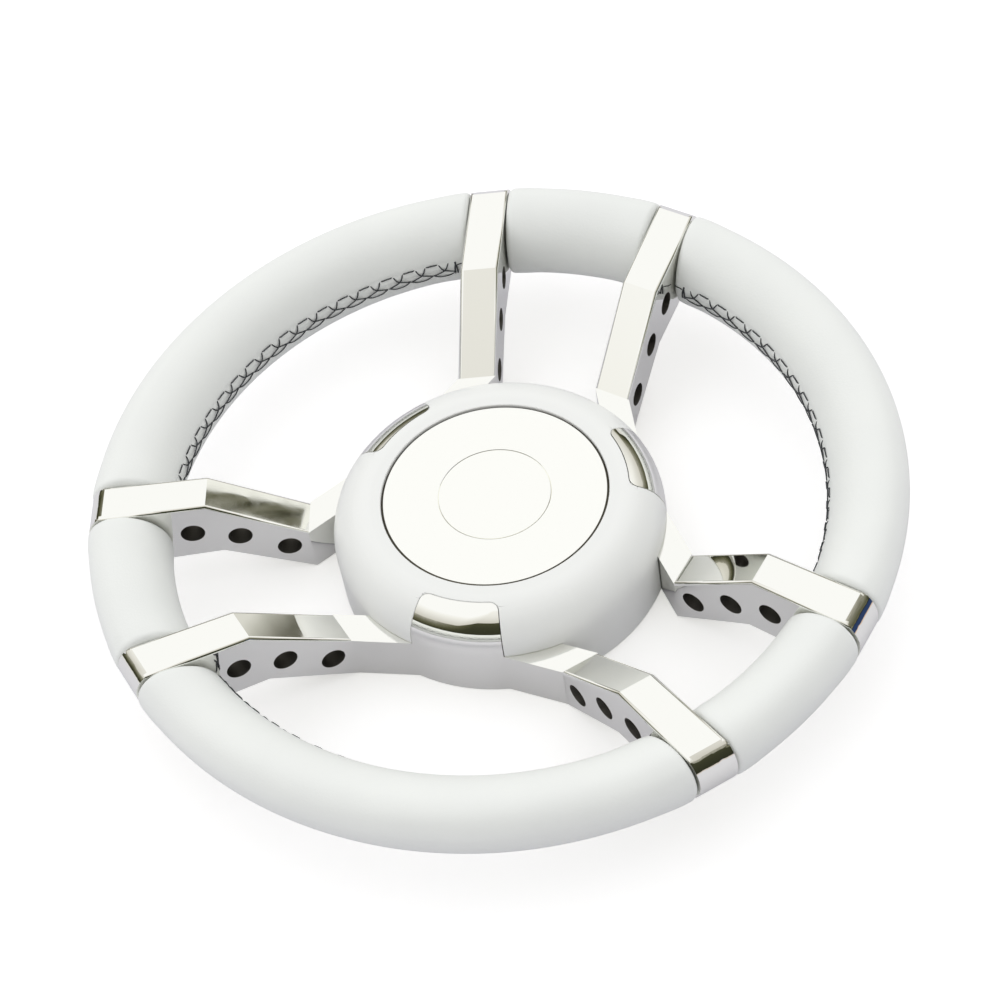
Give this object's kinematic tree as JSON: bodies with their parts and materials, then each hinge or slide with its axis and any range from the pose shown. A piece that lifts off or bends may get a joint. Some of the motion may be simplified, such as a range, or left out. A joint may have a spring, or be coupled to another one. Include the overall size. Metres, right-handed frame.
{
  "type": "boat steering wheel",
  "caption": "Round boat steering wheel: polished stainless spokes in splayed pairs, laced white leather grips on the rim and a domed white cap over the hub.",
  "frame": {"origin": "middle of the hub's flat back face, on the wheel's axis", "axes": "+Z along the wheel's axis towards the person who steers; +Y through the middle of one pair of spokes"},
  "size_m": [0.35, 0.35, 0.057],
  "materials": {
    "polished_stainless": "mirror-polished stainless steel",
    "plain_stainless": "plain drawn stainless steel",
    "white_plastic": "smooth satin white",
    "mirror_disc": "mirror-polished sheet",
    "mirror_medallion": "mirror-polished sheet",
    "rim_foam": "dense foam, not in view",
    "white_leather": "smooth satin white",
    "dark_thread": "waxed thread"
  },
  "bodies": {
    "root": {"spider_casting": "polished_stainless", "rim_ring": "plain_stainless", "hub_cap": "white_plastic", "cap_screws": "plain_stainless", "cap_disc": "mirror_disc", "centre_medallion": "mirror_medallion", "foam_sleeve_short_1": "rim_foam", "leather_cover_short_1": "white_leather", "foam_sleeve_long_1": "rim_foam", "leather_cover_long_1": "white_leather", "lacing_long_1": "dark_thread", "foam_sleeve_short_2": "rim_foam", "leather_cover_short_2": "white_leather", "foam_sleeve_long_2": "rim_foam", "leather_cover_long_2": "white_leather", "lacing_long_2": "dark_thread", "foam_sleeve_short_3": "rim_foam", "leather_cover_short_3": "white_leather", "foam_sleeve_long_3": "rim_foam", "leather_cover_long_3": "white_leather", "lacing_long_3": "dark_thread"}
  },
  "joints": []
}
